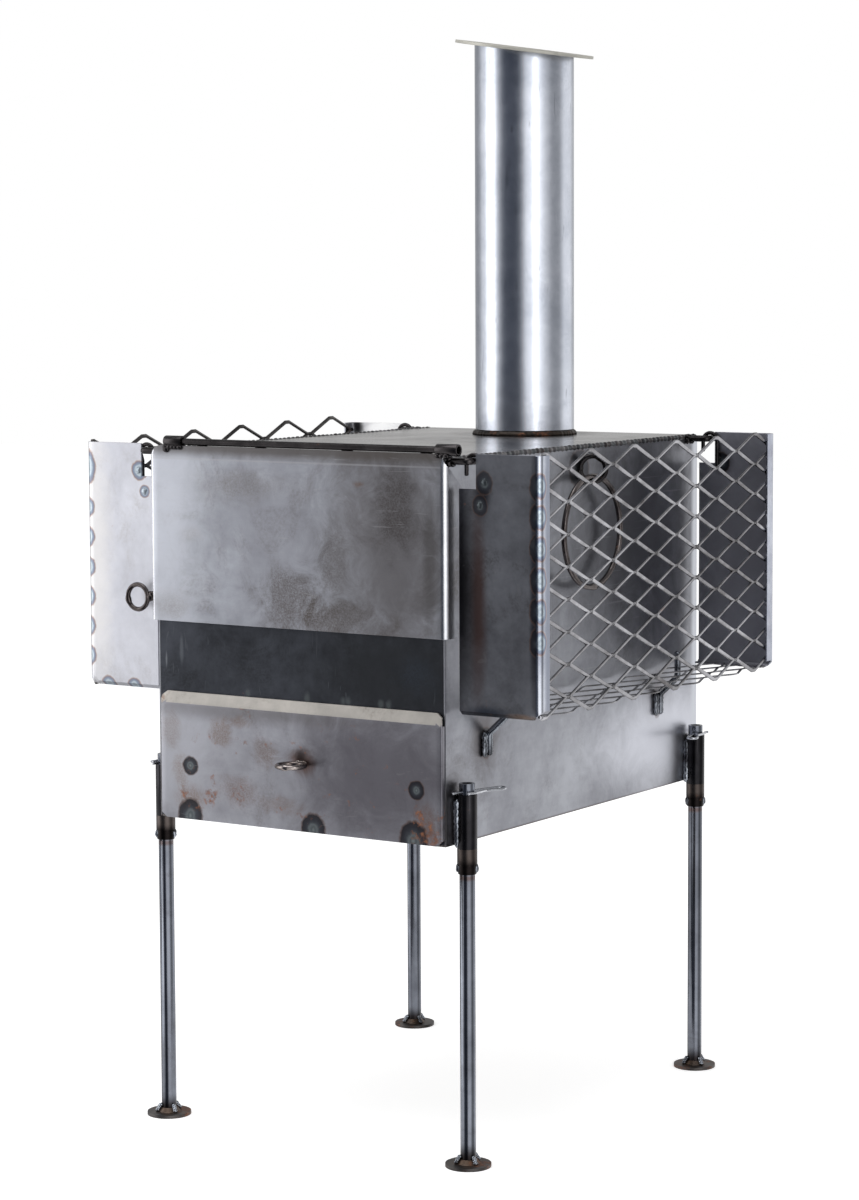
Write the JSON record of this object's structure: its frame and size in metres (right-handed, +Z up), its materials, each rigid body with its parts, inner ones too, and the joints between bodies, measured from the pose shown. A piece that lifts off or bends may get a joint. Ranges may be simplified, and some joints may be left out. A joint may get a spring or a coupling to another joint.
{
  "type": "tent wood stove",
  "caption": "Folded sheet steel wood stove on drop-in legs, with a top-hinged door, ash drawer, hook-on mesh racks at the sides and a lift-off flue pipe.",
  "frame": {"origin": "centre of the bounding box's footprint, at floor level under the feet", "axes": "+Z up, -Y towards the person at the door, +X to that person's right"},
  "size_m": [0.508, 0.5087, 1.0416],
  "materials": {
    "top_steel": "mill finish hot-rolled plate, matt, faintly streaked",
    "wall_steel": "plain sheet steel, matt with soft streaks",
    "inner_steel": "dark sheet steel inside",
    "scale_steel": "blue-black mill scale",
    "rod_steel": "black rod with weld scale",
    "ring_steel": "dark rod with thin brown rust",
    "weld_steel": "bright weld bead",
    "door_steel": "satin blue-grey sheet with handling marks",
    "drawer_steel": "satin grey sheet with rust freckles",
    "rack_dark_steel": "dark satin sheet",
    "rack_bright_steel": "light satin sheet",
    "mesh_steel": "raw expanded metal",
    "leg_steel": "dark drawn tube",
    "collar_steel": "heat-browned tube",
    "foot_steel": "plate with orange rust",
    "clip_zinc": "bright zinc plated spring wire",
    "pipe_steel": "satin bright tube",
    "flashing_steel": "satin plate"
  },
  "bodies": {
    "firebox": {"top_plate": "top_steel", "left_wall": "wall_steel", "right_wall": "wall_steel", "back_wall": "wall_steel", "floor_plate": "inner_steel", "front_plate": "scale_steel", "grate_ledges": "inner_steel", "fire_grate": "inner_steel", "flue_collar": "ring_steel", "hinge_rod": "rod_steel", "rack_pegs": "rod_steel", "rack_supports": "rod_steel", "carry_eyes": "ring_steel", "leg_sockets": "rod_steel", "seam_welds": "weld_steel"},
    "door": {"door_panel": "door_steel", "door_knuckles": "rod_steel", "door_ring": "ring_steel"},
    "drawer": {"drawer_front": "drawer_steel", "drawer_tray": "inner_steel", "drawer_ring": "ring_steel"},
    "rack_right": {"rack_right_front": "rack_dark_steel", "rack_right_back": "rack_bright_steel", "rack_right_side_mesh": "mesh_steel", "rack_right_floor_mesh": "mesh_steel", "rack_right_hooks": "rod_steel"},
    "rack_left": {"rack_left_front": "rack_bright_steel", "rack_left_back": "rack_bright_steel", "rack_left_side_mesh": "mesh_steel", "rack_left_floor_mesh": "mesh_steel", "rack_left_hooks": "rod_steel"},
    "carry_ring_right": {"carry_ring_right": "ring_steel"},
    "carry_ring_left": {"carry_ring_left": "ring_steel"},
    "flue": {"flue_pipe": "pipe_steel", "flashing_plate": "flashing_steel"},
    "leg_fr": {"leg_tube_fr": "leg_steel", "leg_collar_fr": "collar_steel", "leg_foot_fr": "foot_steel"},
    "clip_fr": {"clip_fr": "clip_zinc"},
    "leg_fl": {"leg_tube_fl": "leg_steel", "leg_collar_fl": "collar_steel", "leg_foot_fl": "foot_steel"},
    "clip_fl": {"clip_fl": "clip_zinc"},
    "leg_br": {"leg_tube_br": "leg_steel", "leg_collar_br": "collar_steel", "leg_foot_br": "foot_steel"},
    "clip_br": {"clip_br": "clip_zinc"},
    "leg_bl": {"leg_tube_bl": "leg_steel", "leg_collar_bl": "collar_steel", "leg_foot_bl": "foot_steel"},
    "clip_bl": {"clip_bl": "clip_zinc"}
  },
  "joints": [
    {"name": "door_hinge", "type": "hinge", "parent": "firebox", "child": "door", "pos_m": [0, -0.21915, 0.6503], "axis": [-1, 0, 0], "range_deg": [0, 270]},
    {"name": "drawer_slide", "type": "slide", "parent": "firebox", "child": "drawer", "axis": [0, -1, 0], "range_m": [0, 0.4]},
    {"name": "rack_right_lift", "type": "slide", "parent": "firebox", "child": "rack_right", "axis": [0, 0, 1], "range_m": [0, 0.02]},
    {"name": "rack_left_lift", "type": "slide", "parent": "firebox", "child": "rack_left", "axis": [0, 0, 1], "range_m": [0, 0.02]},
    {"name": "carry_ring_right_swing", "type": "hinge", "parent": "firebox", "child": "carry_ring_right", "pos_m": [0.17555, 0.01635, 0.61435], "axis": [0, -1, 0], "range_deg": [-5, 40]},
    {"name": "carry_ring_left_swing", "type": "hinge", "parent": "firebox", "child": "carry_ring_left", "pos_m": [-0.17555, 0.01635, 0.61435], "axis": [0, 1, 0], "range_deg": [-5, 40]},
    {"name": "flue_lift", "type": "slide", "parent": "firebox", "child": "flue", "axis": [0, 0, 1], "range_m": [0, 0.045]},
    {"name": "leg_fr_swivel", "type": "hinge", "parent": "firebox", "child": "leg_fr", "pos_m": [0.1708, -0.19865, 0.3143], "axis": [0, 0, 1], "range_deg": [-12, 22]},
    {"name": "leg_fl_swivel", "type": "hinge", "parent": "firebox", "child": "leg_fl", "pos_m": [-0.1708, -0.19865, 0.3143], "axis": [0, 0, 1], "range_deg": [-2, 32]},
    {"name": "leg_br_swivel", "type": "hinge", "parent": "firebox", "child": "leg_br", "pos_m": [0.1708, 0.23135, 0.3143], "axis": [0, 0, 1], "range_deg": [-22, 12]},
    {"name": "leg_bl_swivel", "type": "hinge", "parent": "firebox", "child": "leg_bl", "pos_m": [-0.1708, 0.23135, 0.3143], "axis": [0, 0, 1], "range_deg": [-12, 22]},
    {"name": "clip_fr_pull", "type": "slide", "parent": "leg_fr", "child": "clip_fr", "axis": [0.2756, 0.9613, 0], "range_m": [0, 0.026]},
    {"name": "clip_fl_pull", "type": "slide", "parent": "leg_fl", "child": "clip_fl", "axis": [0.0698, 0.9976, 0], "range_m": [0, 0.026]},
    {"name": "clip_br_pull", "type": "slide", "parent": "leg_br", "child": "clip_br", "axis": [0.2756, -0.9613, 0], "range_m": [0, 0.026]},
    {"name": "clip_bl_pull", "type": "slide", "parent": "leg_bl", "child": "clip_bl", "axis": [-0.2756, -0.9613, 0], "range_m": [0, 0.026]}
  ]
}
